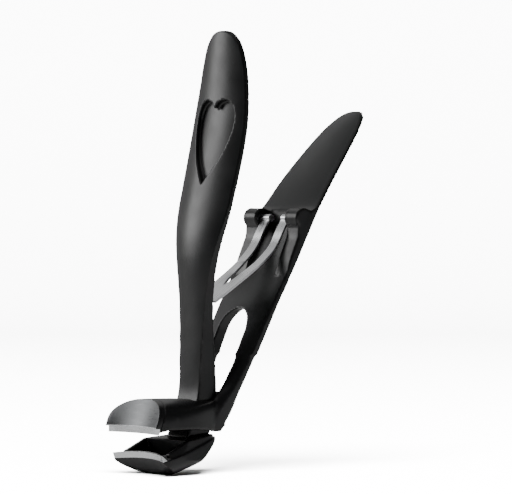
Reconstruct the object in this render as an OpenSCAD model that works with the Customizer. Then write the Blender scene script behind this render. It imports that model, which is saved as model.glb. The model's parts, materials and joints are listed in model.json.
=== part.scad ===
// Nail clipper with a squeeze lever, a forked leaf spring and a scoop jaw.
// The jaws point along -X, the width runs along Y, and it stands with +Z up on the scoop's lowest edge.

/* [Head and jaws] */
// Width of the jaws at their widest
head_w = 16; // [15.6:0.1:16.4]
// Length of each straight cutting edge, corner to corner
edge_w = 14.7; // [14:0.1:15]
// Height of the top of the head
head_top = 14; // [13.8:0.1:14.2]
// Height of the upper cutting edge
edge_z = 7.75; // [7.6:0.05:7.9]
// Radius that the faces of both jaws are hollow-ground to
grind_r = 22; // [20:0.5:26]
// Thickness of the steel blades
blade_t = 1.3; // [1.1:0.1:1.5]

/* [Lever] */
// Width of the lever's neck
neck_w = 6.7; // [6.4:0.1:6.8]
// Angle that the lever swings through from open to shut
swing = 16; // [14:0.5:16]
// Depth of the heart-shaped thumb recess
heart_d = 1.2; // [0.8:0.1:1.3]

/* [Handle] */
// Width of the handle at the ledge
handle_w = 17; // [16:0.1:17.4]
// Diameter of the round ears that hold the spring
ear_d = 3.8; // [3.4:0.1:3.9]
// Gap between the two ears
ear_gap = 8.9; // [8.8:0.1:9.2]

/* [Pins and spring] */
// Diameter of the pivot pin
pin_d = 2.4; // [2.2:0.1:2.6]
// Clearance on the radius of every running fit
fit = 0.05; // [0.03:0.01:0.08]
// Width of the spring where it leaves the ears
spring_w = 8.4; // [8.2:0.1:8.4]
// Thickness of the spring strip
spring_t = 0.4; // [0.3:0.05:0.4]

/* [Hidden] */

$fn = 64;
black = [0.07, 0.07, 0.08];
ground_steel = [0.55, 0.56, 0.58];
bright_steel = [0.82, 0.83, 0.85];

half_head = head_w / 2;
half_edge = edge_w / 2;
half_neck = neck_w / 2;
mid_x = 26.25;             // half the length, so that the origin is under the middle of the box
keel = [3.3, 2.65];        // X and Z of the scoop's lowest edge, with the jaws shut
slot_side = 0.25;          // room beside the neck in its slot
pivot = [14.2, 10.8];      // X and Z of the lever's pivot
ear = [33.6, 47.1];        // X and Z of the ears' centre
edge_gap = 0.1;            // what stays between the two edges when the jaws are shut
far = 40;                  // longer than anything that is cut
// height of the keel once the jaws are open: what the whole drawing is lowered by
lowest = pivot[1] + (keel[0] - pivot[0]) * sin(swing) + (keel[1] - pivot[1]) * cos(swing);
socket_r = 0.75;           // radius of the blind sockets in the ears
socket_deep = 1.4;         // depth of those sockets

// ---- drawing helpers ----

// Moves the drawing so that the origin is under the middle of the clipper
module placed() {
    translate([-mid_x, 0, -lowest]) children();
}

// Side outline, drawn as X and Z, made w wide about the middle plane
module side(w) {
    rotate([90, 0, 0]) linear_extrude(height = w, center = true) children();
}

// Front outline, drawn as Y and Z, made from x0 to x1
module front(x0, x1) {
    translate([x0, 0, 0]) rotate([90, 0, 90]) linear_extrude(height = x1 - x0) children();
}

// Round bar across the width from y0 to y1 at the point p = [x, z]
module bar(p, r, y0, y1) {
    translate([p[0], y1, p[1]]) rotate([90, 0, 0]) cylinder(r = r, h = y1 - y0);
}

// The two sides of the clipper are mirror images
module both_sides() {
    children();
    mirror([0, 1, 0]) children();
}

// Turns a jaw from shut to open about the pivot
module opened() {
    translate([pivot[0], 0, pivot[1]]) rotate([0, -swing, 0]) translate([-pivot[0], 0, -pivot[1]])
        children();
}

// Half of a superellipse, from the right to the left, w half wide and h high, standing on height z
function arch(w, h, z, p, n) = [for (i = [0:n]) let (a = 180 * i / n)
    [sign(cos(a)) * w * pow(abs(cos(a)), 2 / p), z + h * pow(sin(a), 2 / p)]];

// Smooth curve through rows of numbers
function curve_at(rows, k, t) =
    let (a = rows[max(k - 1, 0)], b = rows[k], c = rows[k + 1], d = rows[min(k + 2, len(rows) - 1)])
    0.5 * (2 * b + (c - a) * t + (2 * a - 5 * b + 4 * c - d) * t * t + (3 * b - a - 3 * c + d) * t * t * t);
function smooth(rows, n) = concat([for (k = [0:len(rows) - 2], i = [0:n - 1]) curve_at(rows, k, i / n)],
    [rows[len(rows) - 1]]);

// The same for a loft whose rows start with their height and aren't evenly spaced
function slope_at(rows, k) =
    let (a = rows[max(k - 1, 0)], b = rows[min(k + 1, len(rows) - 1)]) (b - a) / (b[0] - a[0]);
function risen_at(rows, k, t) =
    let (a = rows[k], b = rows[k + 1], h = b[0] - a[0], from = slope_at(rows, k) * h,
        to = slope_at(rows, k + 1) * h)
    a + from * t + (3 * (b - a) - 2 * from - to) * t * t + (2 * (a - b) + from + to) * t * t * t;
function risen(rows, n) = concat([for (k = [0:len(rows) - 2], i = [0:n - 1]) risen_at(rows, k, i / n)],
    [rows[len(rows) - 1]]);

// One ring of a crowned bar at height row[0]: the front is crowned by row[4] ahead of its two edges
crown_n = 20;
function ring(row) = concat(
    [for (i = [0:crown_n]) let (y = row[2] * (2 * i / crown_n - 1))
        [row[1] - row[4] * (1 - pow(y / row[2], 2)), y, row[0]]],
    [[row[1] + row[3], row[2], row[0]], [row[1] + row[3], -row[2], row[0]]]);

// Skin over a stack of rings. Rows hold [height, X of the front edges, half width, edge thickness, crown]
module loft(rows) {
    n = crown_n + 3;
    last = len(rows) - 1;
    polyhedron(
        points = [for (row = rows) each ring(row)],
        faces = concat(
            [[for (i = [0:n - 1]) n - 1 - i]],
            [[for (i = [0:n - 1]) last * n + i]],
            [for (k = [0:last - 1], i = [0:n - 1], half = [0, 1]) let (a = k * n + i, b = k * n + (i + 1) % n)
                half == 0 ? [a, b, a + n] : [b, b + n, a + n]]));
}

// ---- shapes that two pieces share ----

// A drum that leaves a hollow-ground front. It leans by lean about height z, and is moved back by depth
module grinding(depth, lean, z) {
    sag = grind_r - sqrt(grind_r * grind_r - half_edge * half_edge);
    translate([sag + depth, 0, z]) rotate([0, lean, 0]) translate([-grind_r, 0, 0])
        cylinder(r = grind_r, h = far, center = true, $fn = 128);
}
face_lean = 19;            // the steel face leans back above the upright strip
face_z = 9.05;             // height where that lean starts
face_step = 0.12;          // step between the strip and the leaning face
scoop_lean = -22;          // the front of the scoop leans back downwards
seat_z = 6.5;              // height of the lower blade's seat with the jaws shut

// Domed outline of the head from the front
module head_arch(inset) {
    polygon(concat(arch(half_head - inset, head_top - 10 - inset, 10, 2.2, 24),
        [[-half_head + inset, edge_z], [half_head - inset, edge_z]]));
}

// Plan of the upper head, narrowing to the rear corner
module head_plan() {
    rear = smooth([[2.5, half_head], [6, 7.75], [10, 7.0], [14, 5.7], [16.9, 4.7], [21, 5.6]], 4);
    polygon(concat([[-2, half_head]], rear, [for (i = [len(rear) - 1:-1:0]) [rear[i][0], -rear[i][1]]],
        [[-2, -half_head]]));
}

// The upper jaw from the side. Its rear end stops inside the foot of the handle
module head_side() {
    underside = [[-1, edge_z], [3, 8.5], [9, 8.5], [14.4, 8.0], [16.0, 7.9]];
    rear = [[17.0, 9.7], [17.9, 11.9], [18.7, 13.9]];
    top = [[17, 13.9], [15, 13.6], [12, 13.8], [6, head_top], [2, head_top], [-1, head_top - 0.9]];
    polygon(concat(underside, rear, top));
}

// ---- the pieces ----

// The slot that the neck moves in, wide enough for its whole swing
module neck_slot() {
    side(neck_w + 2 * slot_side) polygon([[8.6, 7], [8.8, 8.2], [11.1, 10.6], [12.35, 14.6], [12.35, 19],
        [23, 19], [19.4, 15], [17.95, 13.2], [16.3, 10.2], [15.9, 7]]);
}

// Opening through the handle above the head
module window() {
    top_r = 4.1;
    front(15, 36) {
        translate([0, 26.2]) circle(r = top_r);
        polygon([[-3.6, 15], [3.6, 15], [3.8, 19], [top_r, 24], [top_r, 26.2], [-top_r, 26.2], [-top_r, 24],
            [-3.8, 19]]);
    }
}

// Height, X of the inner edges, half width, edge thickness and crown of the handle: its foot behind the
// slot, the crowned grip, the ledge above the ears, and the thin finger plate that flares outwards
half_handle = handle_w / 2;
handle_rows = [
    [7.75, 15.2, 5.1, 1.5, 0.02],
    [9.7, 15.6, 5.35, 2.6, 0.02],
    [11.9, 16.4, 5.8, 2.85, 2.2],
    [14.4, 17.8, 6.3, 2.3, 2.9],
    [16.5, 19.2, 6.75, 1.75, 2.3],
    [21.2, 21.5, 7.65, 1.35, 1.8],
    [27.5, 24.40, 8.25, 1.3, 1.6],
    [30.3, 25.8, 8.35, 1.3, 1.2],
    [33.0, 27.25, half_handle - 0.1, 1.3, 0.3],
    [37.0, 29.45, half_handle - 0.1, 1.35, -0.7],
    [43.0, 32.6, half_handle - 0.05, 1.35, -0.7],
    [48.7, 35.6, half_handle, 1.35, -0.3],
    [49.1, 36.4, half_handle, 0.8, 0.1],
    [54, 40.1, 7.75, 0.8, 0.4],
    [58, 43.4, 6.95, 0.8, 0.5],
    [62, 46.85, 5.9, 0.8, 0.5],
    [64.5, 49.1, 4.9, 0.8, 0.45],
    [66.2, 50.7, 3.6, 0.8, 0.35],
    [67.1, 51.6, 2.2, 0.8, 0.2],
    [67.4, 52.0, 1.0, 0.8, 0.1]];

// Ears with round heads, standing on a web that runs out down the handle
module ears() {
    r = ear_d / 2;
    outer = half_handle - 0.12;
    inner = ear_gap / 2;
    both_sides() {
        bar(ear, r, inner, outer);
        translate([0, (inner + outer) / 2, 0]) side(outer - inner)
            polygon([[ear[0] - 1.2, ear[1] - 1.5], [32.2, 43.6], [30.5, 39.8], [29.4, 36.6],
                [30.2, 36.6], [36.1, 47.9], [36.1, 48.4], [ear[0] - 0.2, ear[1] + r - 0.15]]);
    }
}

module handle_frame() {
    color(black) placed() difference() {
        union() {
            intersection() {
                side(head_w) head_side();
                front(-2, 22) head_arch(0);
                linear_extrude(height = far) head_plan();
            }
            loft(risen(handle_rows, 4));
            ears();
        }
        grinding(blade_t, face_lean, face_z);
        neck_slot();
        window();
        // relief behind the cutting edge
        side(edge_w - 1.4) polygon([[-2, 7], [-2, 9.6], [2.6, 9.6], [6, 9.1], [8, 8.6], [8, 7]]);
        // blind bore for the pivot pin, drilled from the far cheek
        bar(pivot, pin_d / 2, -half_neck - 1.6, far);
        both_sides() bar(ear, socket_r, ear_gap / 2 - 1, ear_gap / 2 + socket_deep);
    }
}

// Steel face of the upper jaw, hollow ground, with its cutting edge below
module upper_blade() {
    color(ground_steel) placed() difference() {
        intersection() {
            grinding(blade_t, face_lean, face_z);
            front(-2, 8) head_arch(0);
            linear_extrude(height = far) head_plan();
            // sharpened from behind, with a level edge
            side(head_w) polygon([[-1.2, 13.15], [-1.2, edge_z], [1.5, edge_z], [3.6, 8.9], [8, 12], [8, 15],
                [2, 15]]);
        }
        // upright strip along the edge, with a small step up to the leaning face
        grinding(0, 0, face_z);
        intersection() {
            grinding(face_step, face_lean, face_z);
            translate([-far, -far, face_z]) cube(2 * far);
        }
        // corners taken back beside the cutting edge
        both_sides() translate([0, half_edge, 0]) rotate([0, 0, 45])
            translate([-4, 0, edge_z - 1]) cube([6, 4, 2.1]);
    }
}

// Height, X of the front edges, half width, edge thickness and crown of the lever, from the seat of the
// lower jaw up through the slot to the tip of the paddle
lever_rows = [
    [5.4, 9.55, half_neck, 5.6, 0.02],
    [8.2, 10.85, half_neck, 4.7, 0.02],
    [10.8, 11.75, half_neck, 4.35, 0.02],
    [14.4, 12.75, half_neck, 4.15, 0.1],
    [17, 13.1, half_neck, 3.8, 0.2],
    [20, 13.2, 3.42, 3.45, 0.3],
    [26, 13.5, 3.7, 2.55, 0.45],
    [32, 13.75, 4.25, 1.85, 0.6],
    [36, 13.95, 4.95, 1.5, 0.8],
    [40, 14.3, 5.9, 1.25, 1.1],
    [44, 15.0, 6.95, 1.05, 1.4],
    [48, 16.0, 7.75, 0.95, 1.6],
    [54, 17.55, 8.05, 0.9, 1.7],
    [60, 19.0, 8.2, 0.9, 1.7],
    [66, 20.1, 7.95, 0.9, 1.6],
    [72, 20.75, 7.1, 0.9, 1.4],
    [76, 20.9, 6.25, 0.9, 1.15],
    [79, 20.85, 5.1, 0.9, 0.85],
    [81, 20.7, 3.5, 0.9, 0.5],
    [81.8, 20.6, 2.0, 0.9, 0.25],
    [82, 20.6, 0.9, 0.9, 0.15]];

// Heart with its point down, as Y and Z, from two arcs and two long curved flanks
module heart() {
    notch = [0, 67.4];
    tip = [0, 53.4];
    flank = smooth([[2.9, 69.1], [4.9, 67.9], [5.6, 65.2], [5.0, 61.8], [3.3, 57.9], tip], 5);
    lobe = smooth([notch, [0.9, 68.6], [2.9, 69.1]], 4);
    right = concat(lobe, [for (i = [1:len(flank) - 1]) flank[i]]);
    polygon(concat(right, [for (i = [len(right) - 2:-1:1]) [-right[i][0], right[i][1]]]));
}

module squeeze_lever() {
    paddle_r = 20;         // radius of the paddle's crown
    color(black) placed() difference() {
        loft(risen(lever_rows, 4));
        // the floor of the heart follows the crown of the paddle
        difference() {
            front(10, 23) heart();
            translate([15.75 + heart_d, 0, 53.4]) rotate([0, 11.8, 0]) translate([paddle_r, 0, -5])
                cylinder(r = paddle_r, h = far);
        }
        bar(pivot, pin_d / 2 + fit, -far, far);
        // the foot is cut off along the deck of the lower jaw
        opened() side(far) polygon([[-far, -far], [-far, deck_at(-far)], [far, deck_at(far)], [far, -far]]);
        opened() fastener_holes(screw_r, dowel_r);
    }
}

// Both fasteners of the lower jaw stand square to its deck, in line with the neck
screw_r = 0.9;
screw_head_r = 1.6;
dowel_r = 0.6;
screw_x = 11.0;
dowel_x = 13.3;
head_seat_z = 5.9;         // where the screw's head bears, with the jaws shut
dowel_z = 6.2;             // bottom of the dowel
deck = [[6.9, 8.3], [14.6, 7.05]];     // X and Z of the deck's two ends, with the jaws shut
deck_slope = (deck[1][1] - deck[0][1]) / (deck[1][0] - deck[0][0]);
function deck_at(x) = deck[0][1] + (x - deck[0][0]) * deck_slope;
in_neck = 0.9;             // how far both go into the neck
screw_end = deck_at(screw_x) + in_neck;
dowel_end = deck_at(dowel_x) + in_neck;
module fastener_holes(r_screw, r_dowel) {
    translate([screw_x, 0, 0]) cylinder(r = r_screw, h = screw_end + 0.1);
    translate([dowel_x, 0, dowel_z - 0.1]) cylinder(r = r_dowel, h = dowel_end - dowel_z + 0.2);
}

// Plan of the scoop: a boat that narrows to its rear end
jaw_flank = smooth([[0.9, half_edge + 0.45], [3, half_head], [6, 7.65], [10, 6.5], [13.4, 5.2], [14.9, 4.0],
    [15.2, 2.6]], 4);
function mirrored(flank) = concat(flank, [for (i = [len(flank) - 1:-1:0]) [flank[i][0], -flank[i][1]]]);

// The hull of the scoop with the jaws shut
module scoop_hull() {
    intersection() {
        linear_extrude(height = far) polygon(concat([[-2, half_edge + 0.45]], mirrored(jaw_flank),
            [[-2, -half_edge - 0.45]]));
        // round bottom of the boat
        front(-2, 17) polygon(concat(
            [for (p = arch(half_head, 4.2, 0, 2.8, 24)) [p[0], 6.75 - p[1]]],
            [[-half_head, 9.5], [half_head, 9.5]]));
        union() {
            side(head_w) polygon([[-0.5, 6.45], keel, [6.6, 3.05], [10.4, 4.15], [13.2, 5.3], [15.2, 6.4],
                [15.2, 6.45],
                [2.2, 6.45], [1.2, seat_z], [-0.5, seat_z]]);
            // side walls that lean inwards and rise to the deck, which the neck stands on
            intersection() {
                side(head_w) polygon([[1.8, 6.3], [1.8, 7.35], deck[0], deck[1], [15.0, 6.3]]);
                front(-2, 17) polygon([[-7.7, 6.2], [-6.9, 8.9], [6.9, 8.9], [7.7, 6.2]]);
                linear_extrude(height = far)
                    polygon(mirrored([for (p = jaw_flank) [p[0] - 0.2, p[1] - 0.3]]));
            }
        }
    }
}

hollow_w = 12.4;           // width of the hollow for the clippings
hollow_x = 6.9;            // its rear wall
hollow_z = 4.2;            // its floor
module lower_jaw() {
    color(black) placed() opened() difference() {
        scoop_hull();
        grinding(0.02, scoop_lean, seat_z);
        // hollow for the clippings, behind the wall that carries the blade, with a round floor
        difference() {
            intersection() {
                translate([3.4, 0, 12.0]) rotate([90, 0, 0]) cylinder(r = 7.8, h = 13, center = true);
                translate([0, -hollow_w / 2, hollow_z]) cube([hollow_x, hollow_w, 6]);
            }
            grinding(blade_t + 0.5, 0, seat_z);
        }
        // between the side walls everything ends at the blade's seat
        translate([-2, -hollow_w / 2, seat_z]) cube([hollow_x + 2, hollow_w, far]);
        fastener_holes(screw_r + fit, dowel_r);
        // counterbore for the screw's head
        translate([screw_x, 0, 2]) cylinder(r = screw_head_r + fit, h = head_seat_z - 2);
    }
}

// Bright strip that cuts against the upper blade
module lower_blade() {
    color(bright_steel) placed() opened() difference() {
        intersection() {
            // sharpened from behind
            grinding(blade_t, -35, seat_z);
            linear_extrude(height = far) polygon(concat([[-2, half_edge + 0.45]], mirrored(jaw_flank),
                [[-2, -half_edge - 0.45]]));
            side(head_w)
                polygon([[-2, seat_z], [4, seat_z], [4, edge_z - edge_gap], [-2, edge_z - edge_gap]]);
        }
        grinding(0, 0, seat_z);
        // facets that fall away at both corners
        both_sides() translate([0, half_edge, edge_z - edge_gap]) rotate([0, 0, 45]) rotate([35, 0, 0])
            translate([-4, -0.1, 0]) cube([8, 4, 4]);
    }
}

// Side curve of the spring, from the ears to its free end on the lever's back
spring_line = smooth([[33.25, 46.8], [31.9, 44.7], [30.6, 42.3], [28.9, 40.3], [26.0, 37.9], [21.7, 35.0],
    [19.5, 33.55], [16.4, 31.6]], 4);

function unit(v) = v / norm(v);
function normal_at(line, i) =
    let (d = unit(line[min(i + 1, len(line) - 1)] - line[max(i - 1, 0)])) [-d[1], d[0]];
function strip(line, t) = concat([for (i = [0:len(line) - 1]) line[i] + normal_at(line, i) * t / 2],
    [for (i = [len(line) - 1:-1:0]) line[i] - normal_at(line, i) * t / 2]);

module leaf_spring() {
    eye_r = socket_r - fit;
    color(bright_steel) placed() {
        difference() {
            side(spring_w) polygon(strip(spring_line, spring_t));
            // narrower towards the free end
            both_sides() front(10, 36) polygon([[spring_w / 2, 42], [3.6, 30], [6, 30], [6, 42]]);
            // fork between the two tines
            front(10, 36) polygon([[0, 34.6], [0.8, 35.6], [1.6, 39], [1.8, 42], [1.8, 50],
                [-1.8, 50], [-1.8, 42], [-1.6, 39], [-0.8, 35.6]]);
            bar(ear, eye_r - 0.02, -far, far);
        }
        // the end of each tine is rolled into an eye that turns in the ear
        both_sides() bar(ear, eye_r, 1.8, ear_gap / 2 + socket_deep - 0.2);
    }
}

// Pivot pin, ground flush with the cheek at its visible end
module pivot_pin() {
    cheek_y = 5.55;        // half width of the head at the pivot
    color(bright_steel) placed() bar(pivot, pin_d / 2, -half_neck - 1.6, cheek_y - 0.05);
}

module jaw_screw() {
    color(bright_steel) placed() opened() difference() {
        union() {
            // the head is ground flush with the underside of the scoop
            intersection() {
                scoop_hull();
                translate([screw_x, 0, 2]) cylinder(r = screw_head_r, h = head_seat_z - 2);
            }
            translate([screw_x, 0, head_seat_z - 0.2])
                cylinder(r = screw_r, h = screw_end - head_seat_z + 0.2);
        }
        // straight slot for the driver
        translate([screw_x - 2, -0.2, 2]) cube([4, 0.4, 3.1]);
    }
}

module jaw_dowel() {
    color(bright_steel) placed() opened()
        translate([dowel_x, 0, dowel_z]) cylinder(r = dowel_r, h = dowel_end - dowel_z);
}

handle_frame();
upper_blade();
squeeze_lever();
lower_jaw();
lower_blade();
leaf_spring();
pivot_pin();
jaw_screw();
jaw_dowel();
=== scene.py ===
"""Plier-type nail clipper: forged black handle and lever, ground steel blades and a forked leaf spring."""

import json
import math

import bmesh
import bpy
from bpy.props import FloatProperty, FloatVectorProperty, IntProperty, PointerProperty
from mathutils import Matrix, Vector


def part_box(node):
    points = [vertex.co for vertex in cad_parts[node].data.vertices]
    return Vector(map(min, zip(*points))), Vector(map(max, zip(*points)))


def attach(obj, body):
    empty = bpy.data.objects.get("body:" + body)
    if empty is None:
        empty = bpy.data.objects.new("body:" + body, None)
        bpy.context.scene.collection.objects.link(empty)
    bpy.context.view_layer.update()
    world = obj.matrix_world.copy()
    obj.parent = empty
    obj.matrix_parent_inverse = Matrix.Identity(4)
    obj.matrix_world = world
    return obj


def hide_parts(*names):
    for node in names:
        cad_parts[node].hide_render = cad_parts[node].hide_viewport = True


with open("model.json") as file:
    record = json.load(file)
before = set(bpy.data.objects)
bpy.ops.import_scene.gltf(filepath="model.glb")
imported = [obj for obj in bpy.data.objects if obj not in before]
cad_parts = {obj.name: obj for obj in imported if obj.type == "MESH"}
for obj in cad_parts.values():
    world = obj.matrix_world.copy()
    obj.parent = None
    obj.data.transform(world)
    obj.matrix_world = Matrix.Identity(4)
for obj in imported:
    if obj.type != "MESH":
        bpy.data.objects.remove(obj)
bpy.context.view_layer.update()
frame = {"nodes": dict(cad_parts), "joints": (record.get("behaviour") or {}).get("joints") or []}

bl_info = {
    "name": "Nail Clipper",
    "version": (1, 0, 0),
    "blender": (4, 5, 0),
    "location": "3D View > Sidebar > Clipper",
    "description": "Builds the finished surfaces of a plier-type nail clipper around its CAD frame",
    "category": "Object",
}

MM = 0.001
MERGE = 0.0005 * MM        # points closer than this are one point
STRIP_H = 1.34 * MM        # height of the polished strip above the upper cutting edge
FACING = 0.75              # how far a face must look forwards to count as the ground face
FLAT = math.radians(0.4)   # facets that differ by less than this are one face
CHAMFERED = math.radians(28)
SHARP = math.radians(24)

# sockets of a colour Mix node, which all carry the same few names
MIX_FACTOR, MIX_A, MIX_B, MIX_OUT = 0, 6, 7, 2


# ---- settings a user would change ----


class ClipperShape(bpy.types.PropertyGroup):
    forging_grid: FloatProperty(
        name="Forging grid", description="Mesh spacing of the large forgings",
        default=0.2 * MM, subtype="DISTANCE", unit="LENGTH")
    scoop_grid: FloatProperty(
        name="Scoop grid", description="Mesh spacing of the small scoop jaw",
        default=0.12 * MM, subtype="DISTANCE", unit="LENGTH")
    round_passes: IntProperty(
        name="Rounding passes", description="Passes that round every edge of a forging", default=2)
    fair_passes: IntProperty(
        name="Fairing passes", default=24,
        description="Passes that fair the broad surfaces and leave edges alone")
    head_passes: IntProperty(
        name="Head passes", description="Passes that blend the dome of the head into its cheeks", default=50)
    edge_angle: FloatProperty(
        name="Edge angle", description="Turn of the surface from one point to the next that counts as an edge",
        default=math.radians(7), subtype="ANGLE")
    steel_edge: FloatProperty(
        name="Steel edge", description="Width of the polished chamfer on the steel pieces",
        default=0.07 * MM, subtype="DISTANCE", unit="LENGTH")


class ClipperFinish(bpy.types.PropertyGroup):
    coating: FloatVectorProperty(
        name="Coating", description="Colour of the black coating", subtype="COLOR",
        default=(0.012, 0.012, 0.013))
    coating_gloss: FloatProperty(
        name="Coating roughness", description="Roughness of the black coating", default=0.33)
    ground: FloatVectorProperty(
        name="Ground steel", description="Colour of the ground face", subtype="COLOR",
        default=(0.17, 0.174, 0.178))
    polished: FloatVectorProperty(
        name="Polished steel", description="Colour of the blade edges", subtype="COLOR",
        default=(0.82, 0.83, 0.84))
    spring: FloatVectorProperty(
        name="Spring steel", description="Colour of the leaf spring", subtype="COLOR",
        default=(0.78, 0.79, 0.80))


class ClipperStudio(bpy.types.PropertyGroup):
    turn: FloatProperty(
        name="Turn", description="Azimuth of the camera", default=math.radians(-37), subtype="ANGLE")
    tilt: FloatProperty(
        name="Tilt", description="How far the camera looks down", default=math.radians(0.7), subtype="ANGLE")
    distance: FloatProperty(
        name="Distance", description="Camera to the point it aims at", default=730 * MM,
        subtype="DISTANCE", unit="LENGTH")
    lens: FloatProperty(
        name="Lens", description="Focal length on a 36 mm sensor, in millimetres", default=280.2)
    aim: FloatVectorProperty(
        name="Aim", description="Point the camera looks at", default=(-7.79 * MM, -13.39 * MM, 41.92 * MM),
        subtype="TRANSLATION", unit="LENGTH")


def settings():
    scene = bpy.context.scene
    return scene.clipper_shape, scene.clipper_finish, scene.clipper_studio


# ---- mesh helpers ----


def merged_copy(node, name):
    """A copy of a CAD node's surface as one joined mesh."""
    mesh = frame["nodes"][node].data.copy()
    mesh.materials.clear()
    shape = bmesh.new()
    shape.from_mesh(mesh)
    bmesh.ops.remove_doubles(shape, verts=shape.verts, dist=MERGE)
    bmesh.ops.dissolve_degenerate(shape, edges=shape.edges, dist=MERGE)
    shape.to_mesh(mesh)
    shape.free()
    mesh.name = name
    piece = bpy.data.objects.new(name, mesh)
    bpy.context.scene.collection.objects.link(piece)
    return piece


def settle(piece):
    """Turns a piece's modifiers into plain mesh."""
    graph = bpy.context.evaluated_depsgraph_get()
    mesh = bpy.data.meshes.new_from_object(piece.evaluated_get(graph))
    piece.modifiers.clear()
    old = piece.data
    piece.data = mesh
    bpy.data.meshes.remove(old)
    piece.data.name = piece.name


def bend_at(vert):
    """The largest turn of the surface from a point to the points beside it."""
    return max(vert.normal.angle(edge.other_vert(vert).normal, 0.0) for edge in vert.link_edges)


def inside(point, low, high):
    return all(low[i] < point[i] < high[i] for i in range(3))


def smooth_points(shape, verts, passes):
    for _ in range(passes):
        bmesh.ops.smooth_vert(
            shape, verts=verts, factor=0.5, use_axis_x=True, use_axis_y=True, use_axis_z=True)


def forge(piece, grid, soft_low=None, soft_high=None, soft_passes=0):
    """Gives a piece the soft, fair surface of a forging, with its edges lightly rounded.
    Between the corners soft_low and soft_high the edges are blended away too."""
    shape_set = settings()[0]
    remesh = piece.modifiers.new("Forging", "REMESH")
    remesh.mode = "VOXEL"
    remesh.voxel_size = grid
    settle(piece)
    shape = bmesh.new()
    shape.from_mesh(piece.data)
    smooth_points(shape, shape.verts, shape_set.round_passes)
    shape.normal_update()
    broad = [v for v in shape.verts if bend_at(v) < shape_set.edge_angle]
    smooth_points(shape, broad, shape_set.fair_passes)
    if soft_passes:
        soft = [v for v in shape.verts if inside(v.co, soft_low, soft_high)]
        smooth_points(shape, soft, soft_passes)
    for face in shape.faces:
        face.smooth = True
    shape.to_mesh(piece.data)
    shape.free()


def machine(piece, edge):
    """Joins a steel piece's flat facets and gives it crisp edges with a narrow polished chamfer."""
    shape = bmesh.new()
    shape.from_mesh(piece.data)
    bmesh.ops.dissolve_limit(
        shape, angle_limit=FLAT, verts=shape.verts, edges=shape.edges)
    shape.to_mesh(piece.data)
    shape.free()
    bevel = piece.modifiers.new("Chamfer", "BEVEL")
    bevel.width = edge
    bevel.segments = 2
    bevel.limit_method = "ANGLE"
    bevel.angle_limit = CHAMFERED
    bevel.use_clamp_overlap = True
    settle(piece)
    piece.data.shade_smooth()
    piece.data.set_sharp_from_angle(angle=SHARP)


def hand_over(piece, body, node, slot, *materials):
    for material in materials:
        piece.data.materials.append(material)
    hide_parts(node)
    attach(piece, body)
    return piece


# ---- material helpers ----


class Graph:
    """Short way to add and join nodes in one node tree."""

    def __init__(self, tree):
        self.tree = tree

    def add(self, kind, **values):
        made = self.tree.nodes.new(kind)
        for key, value in values.items():
            setattr(made, key, value)
        return made

    def join(self, source, target):
        self.tree.links.new(source, target)


def new_group(name, inputs, outputs):
    group = bpy.data.node_groups.new(name, "ShaderNodeTree")
    for label, kind, default in inputs:
        socket = group.interface.new_socket(label, in_out="INPUT", socket_type=kind)
        if default is not None:
            socket.default_value = default
    for label, kind in outputs:
        group.interface.new_socket(label, in_out="OUTPUT", socket_type=kind)
    graph = Graph(group)
    return group, graph, graph.add("NodeGroupInput"), graph.add("NodeGroupOutput")


def grain_group():
    """Fine grain: a height for a bump, and a mask that varies slowly."""
    group, graph, given, result = new_group(
        "Fine grain",
        [("Vector", "NodeSocketVector", None), ("Scale", "NodeSocketFloat", 3000.0),
         ("Detail", "NodeSocketFloat", 4.0)],
        [("Height", "NodeSocketFloat"), ("Cloud", "NodeSocketFloat")])
    fine = graph.add("ShaderNodeTexNoise")
    cloud = graph.add("ShaderNodeTexNoise")
    slower = graph.add("ShaderNodeMath", operation="MULTIPLY")
    slower.inputs[1].default_value = 0.06
    graph.join(given.outputs["Vector"], fine.inputs["Vector"])
    graph.join(given.outputs["Vector"], cloud.inputs["Vector"])
    graph.join(given.outputs["Scale"], fine.inputs["Scale"])
    graph.join(given.outputs["Scale"], slower.inputs[0])
    graph.join(slower.outputs[0], cloud.inputs["Scale"])
    graph.join(given.outputs["Detail"], fine.inputs["Detail"])
    graph.join(fine.outputs["Fac"], result.inputs["Height"])
    graph.join(cloud.outputs["Fac"], result.inputs["Cloud"])
    return group


def rubbed_edge_and_highlight_group():
    """Rubbed edges and painted edge highlight: a mask that is 1 on the sharpest edges, broken up by noise. The
    coating is lightened under it, partly as rubbed coating and partly as a painted highlight for the bright
    line along the edges.
    """
    group, graph, given, result = new_group(
        "Rubbed edges and painted edge highlight",
        [("Vector", "NodeSocketVector", None), ("From", "NodeSocketFloat", 0.53),
         ("To", "NodeSocketFloat", 0.6), ("Amount", "NodeSocketFloat", 1.0)],
        [("Mask", "NodeSocketFloat")])
    geometry = graph.add("ShaderNodeNewGeometry")
    ramp = graph.add("ShaderNodeMapRange")
    noise = graph.add("ShaderNodeTexNoise")
    noise.inputs["Scale"].default_value = 900.0
    noise.inputs["Detail"].default_value = 5.0
    broken = graph.add("ShaderNodeMath", operation="MULTIPLY")
    scaled = graph.add("ShaderNodeMath", operation="MULTIPLY")
    graph.join(given.outputs["Vector"], noise.inputs["Vector"])
    graph.join(geometry.outputs["Pointiness"], ramp.inputs["Value"])
    graph.join(given.outputs["From"], ramp.inputs["From Min"])
    graph.join(given.outputs["To"], ramp.inputs["From Max"])
    graph.join(ramp.outputs["Result"], broken.inputs[0])
    graph.join(noise.outputs["Fac"], broken.inputs[1])
    graph.join(broken.outputs[0], scaled.inputs[0])
    graph.join(given.outputs["Amount"], scaled.inputs[1])
    graph.join(scaled.outputs[0], result.inputs["Mask"])
    return group


def place_group(graph, group, **values):
    made = graph.add("ShaderNodeGroup", node_tree=group)
    for label, value in values.items():
        made.inputs[label].default_value = value
    return made


def new_material(name):
    material = bpy.data.materials.new(name)
    material.use_nodes = True
    graph = Graph(material.node_tree)
    shader = material.node_tree.nodes["Principled BSDF"]
    where = graph.add("ShaderNodeTexCoord")
    return material, graph, shader, where


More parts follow.
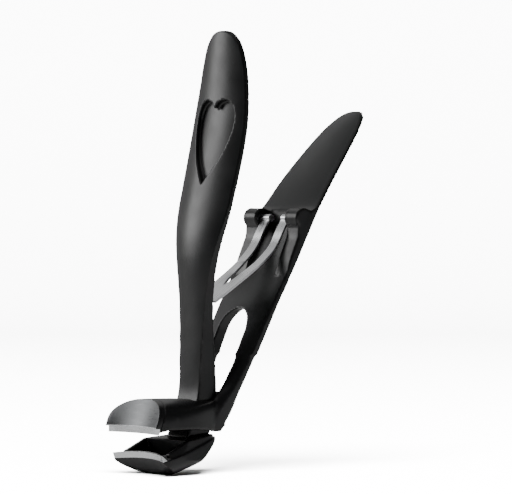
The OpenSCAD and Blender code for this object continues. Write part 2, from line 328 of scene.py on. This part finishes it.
def mixed_colour(graph, mask, first, second):
    mix = graph.add("ShaderNodeMix", data_type="RGBA")
    mix.inputs[MIX_A].default_value = (*first, 1.0)
    mix.inputs[MIX_B].default_value = (*second, 1.0)
    graph.join(mask, mix.inputs[MIX_FACTOR])
    return mix.outputs[MIX_OUT]


def ranged(graph, value, low, high):
    span = graph.add("ShaderNodeMapRange")
    span.inputs["From Min"].default_value = 0.3
    span.inputs["From Max"].default_value = 0.7
    span.inputs["To Min"].default_value = low
    span.inputs["To Max"].default_value = high
    graph.join(value, span.inputs["Value"])
    return span.outputs["Result"]


def bumped(graph, shader, height, strength, distance):
    bump = graph.add("ShaderNodeBump")
    bump.inputs["Strength"].default_value = strength
    bump.inputs["Distance"].default_value = distance
    graph.join(height, bump.inputs["Height"])
    graph.join(bump.outputs["Normal"], shader.inputs["Normal"])


def coating_material(grain, rubbed_edge_and_highlight):
    finish = settings()[1]
    material, graph, shader, where = new_material("Black coating")
    skin = place_group(graph, grain, Scale=4200.0, Detail=5.0)
    rubbed_and_highlit_edges = place_group(graph, rubbed_edge_and_highlight, From=0.53, To=0.62, Amount=0.35)
    graph.join(where.outputs["Object"], skin.inputs["Vector"])
    graph.join(where.outputs["Object"], rubbed_and_highlit_edges.inputs["Vector"])
    base = finish.coating
    # the coating is lightened on its sharpest edges: partly rubbed coating, partly a painted highlight for the
    # bright line along the edges
    colour = mixed_colour(graph, rubbed_and_highlit_edges.outputs["Mask"], base, [c + 0.05 for c in base])
    graph.join(colour, shader.inputs["Base Color"])
    rough = ranged(graph, skin.outputs["Cloud"], finish.coating_gloss - 0.03, finish.coating_gloss + 0.04)
    graph.join(rough, shader.inputs["Roughness"])
    shader.inputs["IOR"].default_value = 1.5
    bumped(graph, shader, skin.outputs["Height"], 0.12, 0.01 * MM)
    return material


def steel_material(name, colour, roughness, lines, grain, strength):
    """Steel with fine lines. lines says how quickly the pattern changes along X, Y and Z."""
    material, graph, shader, where = new_material(name)
    mapping = graph.add("ShaderNodeMapping")
    mapping.inputs["Scale"].default_value = lines
    marks = place_group(graph, grain, Scale=1.0, Detail=3.0)
    graph.join(where.outputs["Object"], mapping.inputs["Vector"])
    graph.join(mapping.outputs["Vector"], marks.inputs["Vector"])
    darker, lighter = [c * 0.86 for c in colour], [min(1, c * 1.1) for c in colour]
    tone = mixed_colour(graph, marks.outputs["Height"], darker, lighter)
    graph.join(tone, shader.inputs["Base Color"])
    rough = ranged(graph, marks.outputs["Height"], roughness * 0.8, roughness * 1.25)
    graph.join(rough, shader.inputs["Roughness"])
    shader.inputs["Metallic"].default_value = 1.0
    bumped(graph, shader, marks.outputs["Height"], strength, 0.008 * MM)
    return material


# ---- operators ----


def cached(name, make):
    return bpy.data.materials.get(name) or make()


def shared_group(name, make):
    return bpy.data.node_groups.get(name) or make()


def black_coating():
    grain = shared_group("Fine grain", grain_group)
    rubbed_edge_and_highlight = shared_group("Rubbed edges and painted edge highlight", rubbed_edge_and_highlight_group)
    return cached("Black coating", lambda: coating_material(grain, rubbed_edge_and_highlight))


def steel(name, colour, roughness, lines, strength):
    grain = shared_group("Fine grain", grain_group)
    return cached(name, lambda: steel_material(name, colour, roughness, lines, grain, strength))


def head_zone():
    """Corners of the part of the head behind the blade, where the dome runs softly into the cheeks."""
    low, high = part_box("upper_blade")
    hinge = Vector(frame["joints"][0]["pos_m"])
    return (high.x + 0.5 * MM, -20 * MM, low.z + 1.2 * MM), (hinge.x + 12 * MM, 20 * MM, hinge.z + 11 * MM)


class CLIPPER_OT_forgings(bpy.types.Operator):
    """Handle, lever and scoop jaw with the soft surfaces of coated forgings"""
    bl_idname = "clipper.forgings"
    bl_label = "Forgings"

    def execute(self, context):
        shape = settings()[0]
        coating = black_coating()
        for node, name, body, grid in (
                ("handle_frame", "handle_forging", "handle", shape.forging_grid),
                ("squeeze_lever", "lever_forging", "lever", shape.forging_grid),
                ("lower_jaw", "scoop_forging", "lever", shape.scoop_grid)):
            piece = merged_copy(node, name)
            if node == "handle_frame":
                forge(piece, grid, *head_zone(), shape.head_passes)
            else:
                forge(piece, grid)
            hand_over(piece, body, node, "black_coating", coating)
        return {"FINISHED"}


class CLIPPER_OT_blades(bpy.types.Operator):
    """Ground upper face with its polished strip, and the polished lower blade"""
    bl_idname = "clipper.blades"
    bl_label = "Blades"

    def execute(self, context):
        shape, finish, _ = settings()
        ground = steel("Ground steel", finish.ground, 0.34, (300, 300, 9000), 0.10)
        polished = steel("Polished steel", finish.polished, 0.27, (900, 300, 5000), 0.03)
        upper = merged_copy("upper_blade", "upper_blade_ground")
        machine(upper, shape.steel_edge)
        hand_over(upper, "handle", "upper_blade", "ground_steel", ground, polished, black_coating())
        strip_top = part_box("upper_blade")[0].z + STRIP_H
        for face in upper.data.polygons:
            if face.center.z < strip_top:
                face.material_index = 1
            elif face.normal.x < -FACING:
                face.material_index = 0
            else:
                face.material_index = 2
        lower = merged_copy("lower_blade", "lower_blade_polished")
        machine(lower, shape.steel_edge)
        hand_over(lower, "lever", "lower_blade", "polished_steel", polished)
        return {"FINISHED"}


class CLIPPER_OT_spring(bpy.types.Operator):
    """Forked leaf spring, rolled into eyes at the ears"""
    bl_idname = "clipper.spring"
    bl_label = "Leaf spring"

    def execute(self, context):
        shape, finish, _ = settings()
        spring = merged_copy("leaf_spring", "spring_strip")
        machine(spring, shape.steel_edge * 0.8)
        brushed = steel("Spring steel", finish.spring, 0.3, (300, 9000, 300), 0.08)
        hand_over(spring, "spring", "leaf_spring", "spring_steel", brushed)
        return {"FINISHED"}


class CLIPPER_OT_pins(bpy.types.Operator):
    """Pivot pin, jaw screw and jaw dowel"""
    bl_idname = "clipper.pins"
    bl_label = "Pins and screw"

    def execute(self, context):
        shape, finish, _ = settings()
        turned = steel("Turned steel", finish.ground, 0.28, (4000, 500, 4000), 0.06)
        for node, body in (("pivot_pin", "handle"), ("jaw_screw", "lever"), ("jaw_dowel", "lever")):
            piece = merged_copy(node, node + "_turned")
            machine(piece, shape.steel_edge)
            hand_over(piece, body, node, "pin_steel", turned)
        return {"FINISHED"}


def softbox(name, place, aim, width, height, power):
    light = bpy.data.lights.new(name, "AREA")
    light.shape = "RECTANGLE"
    light.size = width
    light.size_y = height
    light.energy = power
    lamp = bpy.data.objects.new(name, light)
    lamp.location = place
    lamp.rotation_euler = (Vector(aim) - Vector(place)).to_track_quat("-Z", "Y").to_euler()
    bpy.context.scene.collection.objects.link(lamp)
    return lamp


# Lamps that light the clipper: name, metres to the right of its middle, behind it and above it as the camera
# sees it, width and height of the box, and watts
LAMPS = (
    ("left_softbox", -0.52, 0.16, 0.165, 0.28, 0.24, 1.0),
    ("top_softbox", -0.2, -0.05, 0.75, 0.7, 0.7, 0.7),
    ("rear_panel", -0.48, 0.64, 0.56, 0.55, 0.4, 0.17),
    ("right_fill", 0.6, -0.35, 0.05, 0.6, 0.6, 0.11))


def studio_world():
    """White to the camera past the edge of the paper, and a dark room to the clipper."""
    world = bpy.data.worlds.new("studio")
    world.use_nodes = True
    nodes = world.node_tree.nodes
    room = nodes["Background"]
    room.inputs["Color"].default_value = (1, 1, 1, 1)
    room.inputs["Strength"].default_value = 0.08
    graph = Graph(world.node_tree)
    path = graph.add("ShaderNodeLightPath")
    white = graph.add("ShaderNodeBackground")
    white.inputs["Color"].default_value = (1, 1, 1, 1)
    white.inputs["Strength"].default_value = 6.0
    either = graph.add("ShaderNodeMixShader")
    graph.join(path.outputs["Is Camera Ray"], either.inputs[0])
    graph.join(room.outputs[0], either.inputs[1])
    graph.join(white.outputs[0], either.inputs[2])
    graph.join(either.outputs[0], nodes["World Output"].inputs["Surface"])
    return world


def sweep_floor():
    """Pale floor that curves up into a wall behind the clipper, square to the camera."""
    studio = settings()[2]
    front, back, height, radius, half_width = -0.9, 1.1, 1.6, 0.35, 1.6
    steps = 16
    profile = [(front, 0.0), (back - radius, 0.0)]
    for i in range(1, steps + 1):
        angle = math.pi / 2 * i / steps
        profile.append((back - radius + radius * math.sin(angle), radius - radius * math.cos(angle)))
    profile.append((back, height))
    shape = bmesh.new()
    line = [shape.verts.new((-half_width, y, z)) for y, z in profile]
    edges = [shape.edges.new(pair) for pair in zip(line, line[1:])]
    out = bmesh.ops.extrude_edge_only(shape, edges=edges)
    moved = [item for item in out["geom"] if isinstance(item, bmesh.types.BMVert)]
    bmesh.ops.translate(shape, verts=moved, vec=(2 * half_width, 0, 0))
    bmesh.ops.rotate(shape, verts=shape.verts, cent=(0, 0, 0), matrix=Matrix.Rotation(studio.turn, 3, "Z"))
    bmesh.ops.recalc_face_normals(shape, faces=shape.faces)
    for face in shape.faces:
        face.smooth = True
    mesh = bpy.data.meshes.new("floor_sweep")
    shape.to_mesh(mesh)
    shape.free()
    floor = bpy.data.objects.new("floor_sweep", mesh)
    bpy.context.scene.collection.objects.link(floor)
    material, graph, shader, where = new_material("Pale floor")
    grain = shared_group("Fine grain", grain_group)
    paper = place_group(graph, grain, Scale=120.0, Detail=3.0)
    graph.join(where.outputs["Object"], paper.inputs["Vector"])
    tint = mixed_colour(graph, paper.outputs["Cloud"], (0.93, 0.93, 0.93), (0.95, 0.95, 0.95))
    # what the clipper mirrors is a dimmer paper, as if flagged from its near side
    path = graph.add("ShaderNodeLightPath")
    dim = graph.add("ShaderNodeMix", data_type="RGBA")
    dim.inputs[MIX_B].default_value = (0.035, 0.035, 0.035, 1.0)
    graph.join(path.outputs["Is Glossy Ray"], dim.inputs[MIX_FACTOR])
    graph.join(tint, dim.inputs[MIX_A])
    graph.join(dim.outputs[MIX_OUT], shader.inputs["Base Color"])
    shader.inputs["Roughness"].default_value = 0.9
    shader.inputs["Specular IOR Level"].default_value = 0.1
    mesh.materials.append(material)
    floor.visible_diffuse = False
    return floor


class CLIPPER_OT_stage(bpy.types.Operator):
    """Pale floor, soft studio light and the camera"""
    bl_idname = "clipper.stage"
    bl_label = "Stage"

    def execute(self, context):
        studio = settings()[2]
        turn, tilt = studio.turn, studio.tilt
        ahead = Vector((-math.sin(turn) * math.cos(tilt), math.cos(turn) * math.cos(tilt), -math.sin(tilt)))
        right = Vector((math.cos(turn), math.sin(turn), 0))
        away = Vector((-math.sin(turn), math.cos(turn), 0))
        up = Vector((0, 0, 1))
        aim = Vector(studio.aim)
        camera = bpy.data.cameras.new("camera")
        camera.lens = studio.lens
        camera.sensor_width = 36.0
        camera.clip_start = 0.05
        camera.clip_end = 10.0
        eye = bpy.data.objects.new("camera", camera)
        eye.location = aim - ahead * studio.distance
        eye.rotation_euler = ahead.to_track_quat("-Z", "Y").to_euler()
        context.scene.collection.objects.link(eye)
        context.scene.camera = eye
        floor = sweep_floor()
        middle = Vector((0, 0, 40 * MM))
        for name, side, depth, rise, width, height, power in LAMPS:
            softbox(name, middle + right * side + away * depth + up * rise, middle, width, height, power)
        # a lamp for the paper alone, so that the background stays white behind a dark object
        paper_lamp = softbox(
            "paper_softbox", middle - away * 0.8 + up * 1.5, middle + away * 0.8, 1.2, 1.2, 700.0)
        paper_only = bpy.data.collections.new("paper_only")
        paper_only.objects.link(floor)
        paper_lamp.light_linking.receiver_collection = paper_only
        context.scene.world = studio_world()
        return {"FINISHED"}


class CLIPPER_PT_panel(bpy.types.Panel):
    bl_idname = "CLIPPER_PT_panel"
    bl_label = "Nail Clipper"
    bl_space_type = "VIEW_3D"
    bl_region_type = "UI"
    bl_category = "Clipper"

    def draw(self, context):
        for operator in OPERATORS:
            self.layout.operator(operator.bl_idname)
        for group in settings():
            box = self.layout.box()
            for label in group.__annotations__:
                box.prop(group, label)


OPERATORS = (
    CLIPPER_OT_forgings, CLIPPER_OT_blades, CLIPPER_OT_spring, CLIPPER_OT_pins, CLIPPER_OT_stage)
CLASSES = (ClipperShape, ClipperFinish, ClipperStudio, *OPERATORS, CLIPPER_PT_panel)


def register():
    for cls in CLASSES:
        bpy.utils.register_class(cls)
    bpy.types.Scene.clipper_shape = PointerProperty(type=ClipperShape)
    bpy.types.Scene.clipper_finish = PointerProperty(type=ClipperFinish)
    bpy.types.Scene.clipper_studio = PointerProperty(type=ClipperStudio)


def unregister():
    del bpy.types.Scene.clipper_studio
    del bpy.types.Scene.clipper_finish
    del bpy.types.Scene.clipper_shape
    for cls in reversed(CLASSES):
        bpy.utils.unregister_class(cls)


def main():
    register()
    bpy.ops.clipper.forgings()
    bpy.ops.clipper.blades()
    bpy.ops.clipper.spring()
    bpy.ops.clipper.pins()
    bpy.ops.clipper.stage()
    bpy.context.view_layer.update()


if __name__ == "__main__":
    main()
